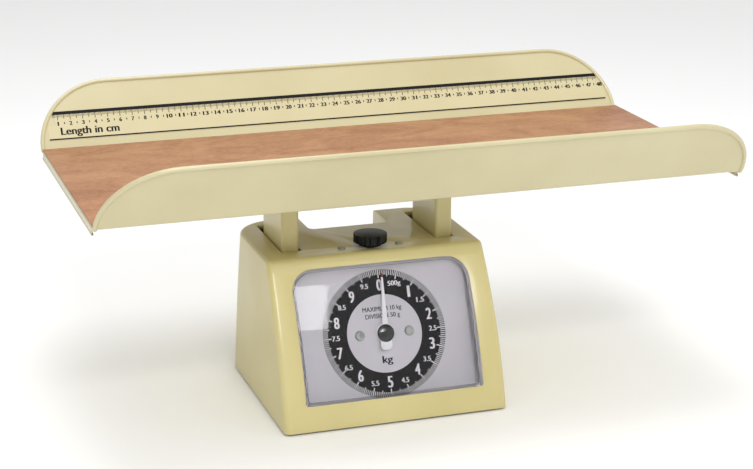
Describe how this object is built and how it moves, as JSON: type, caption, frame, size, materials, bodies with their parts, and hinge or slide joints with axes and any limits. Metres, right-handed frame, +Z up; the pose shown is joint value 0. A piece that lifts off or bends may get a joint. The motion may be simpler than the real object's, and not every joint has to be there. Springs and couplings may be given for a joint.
{
  "type": "spring dial baby scale",
  "caption": "Long flared enamel tray on two posts over a tapered moulded casing with a tilted round dial, a zero knob and a rack and pinion movement.",
  "frame": {"origin": "centre of the whole scale's box in plan, at the underside of the feet", "axes": "+X along the tray to the right of someone reading the dial, +Y away from the reader, +Z up"},
  "size_m": [0.497, 0.2924, 0.2255],
  "materials": {
    "casing": "moulded, semi-gloss",
    "enamel": "stoved enamel, gloss",
    "base_plate": "matt paint",
    "rubber": "matt",
    "steel": "zinc plated",
    "spring": "spring steel",
    "brass": "drawn",
    "clear": "clear moulded",
    "dial_plate": "printed",
    "label": "printed film",
    "mat": "marbled leathercloth",
    "pointer": "painted",
    "black": "satin moulded"
  },
  "bodies": {
    "base": {"casing": "casing", "base_plate": "base_plate", "feet": "rubber", "base_screws": "steel", "casing_screws": "steel", "lens": "clear", "dial_plate": "dial_plate", "dial_screws": "steel", "dial_bracket": "steel", "shaft_bush": "brass", "chassis": "steel", "link_rivets": "brass", "main_spring": "spring"},
    "platform": {"tray": "enamel", "mat": "mat", "length_label": "label", "post_left": "casing", "post_right": "casing", "post_screws": "steel", "tray_screws": "steel", "carrier": "steel"},
    "upper_arm": {"upper_link": "steel", "upper_clips": "spring"},
    "lower_arm": {"lower_link": "steel", "lower_clips": "spring"},
    "rack_bar": {"rack": "brass"},
    "needle": {"pinion_shaft": "brass", "pointer": "pointer", "pointer_hub": "pointer", "pointer_cap": "black"},
    "zero_control": {"zero_screw": "steel", "zero_knob": "black"},
    "spring_nut": {"spring_hanger": "steel"}
  },
  "joints": [
    {"name": "platform_travel", "type": "slide", "parent": "base", "child": "platform", "axis": [0, 0, 1], "range_m": [-0.01748, 0], "stiffness_N_per_m": 5611.2, "springref_m": 0.00325, "deforming": ["main_spring"]},
    {"name": "upper_link_swing", "type": "hinge", "parent": "base", "child": "upper_arm", "pos_m": [-0.0225, -0.041, 0.086], "axis": [1, 0, 0], "range_deg": [-19.2, 0]},
    {"name": "lower_link_swing", "type": "hinge", "parent": "base", "child": "lower_arm", "pos_m": [-0.0225, -0.041, 0.034], "axis": [1, 0, 0], "range_deg": [-19.2, 0]},
    {"name": "rack_slide", "type": "slide", "parent": "base", "child": "rack_bar", "axis": [0, 0.3746, 0.9272], "range_m": [-0.0189, 0]},
    {"name": "pointer_turn", "type": "hinge", "parent": "base", "child": "needle", "pos_m": [-0.0225, -0.0666, 0.0605], "axis": [0, 0.9272, -0.3746], "range_deg": [0, 360.2]},
    {"name": "zero_turn", "type": "hinge", "parent": "base", "child": "zero_control", "pos_m": [-0.0225, -0.0315, 0.12], "axis": [0, 0, 1], "range_deg": [-720, 720], "deforming": ["main_spring"]},
    {"name": "hanger_slide", "type": "slide", "parent": "base", "child": "spring_nut", "axis": [0, 0, 1], "range_m": [-0.00168, 0.00168], "deforming": ["main_spring"]}
  ],
  "couplings": [
    {"joint": "upper_link_swing", "follows": "platform_travel", "rad_per_m": 18.954},
    {"joint": "lower_link_swing", "follows": "platform_travel", "rad_per_m": 18.954},
    {"joint": "rack_slide", "follows": "platform_travel", "ratio": 1.0785},
    {"joint": "pointer_turn", "follows": "platform_travel", "rad_per_m": -359.51},
    {"joint": "hanger_slide", "follows": "zero_turn", "m_per_rad": -0.00012732}
  ]
}
